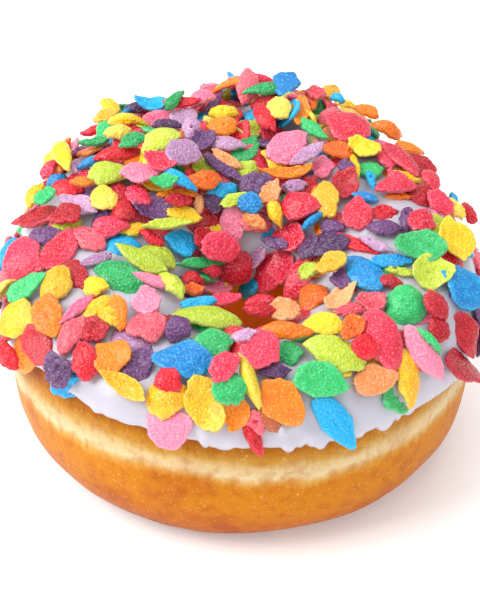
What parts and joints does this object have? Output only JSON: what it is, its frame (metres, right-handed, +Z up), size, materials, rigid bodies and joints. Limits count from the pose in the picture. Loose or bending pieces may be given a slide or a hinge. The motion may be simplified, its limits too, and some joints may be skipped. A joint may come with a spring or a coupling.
{
  "type": "frosted ring doughnut",
  "caption": "Raised ring doughnut with white icing over its top half and a thick crust of coloured crisp rice flakes, a pale band round its side.",
  "frame": {"origin": "on the floor, under the middle of the doughnut's outline", "axes": "+Z up out of the iced top, -Y towards the low front side, +X to the right as seen from the front"},
  "size_m": [0.1104, 0.1112, 0.0619],
  "materials": {
    "fried_dough": "soft fried crust",
    "sugar_icing": "set sugar icing"
  },
  "bodies": {
    "root": {"dough": "fried_dough", "icing": "sugar_icing"}
  },
  "joints": []
}
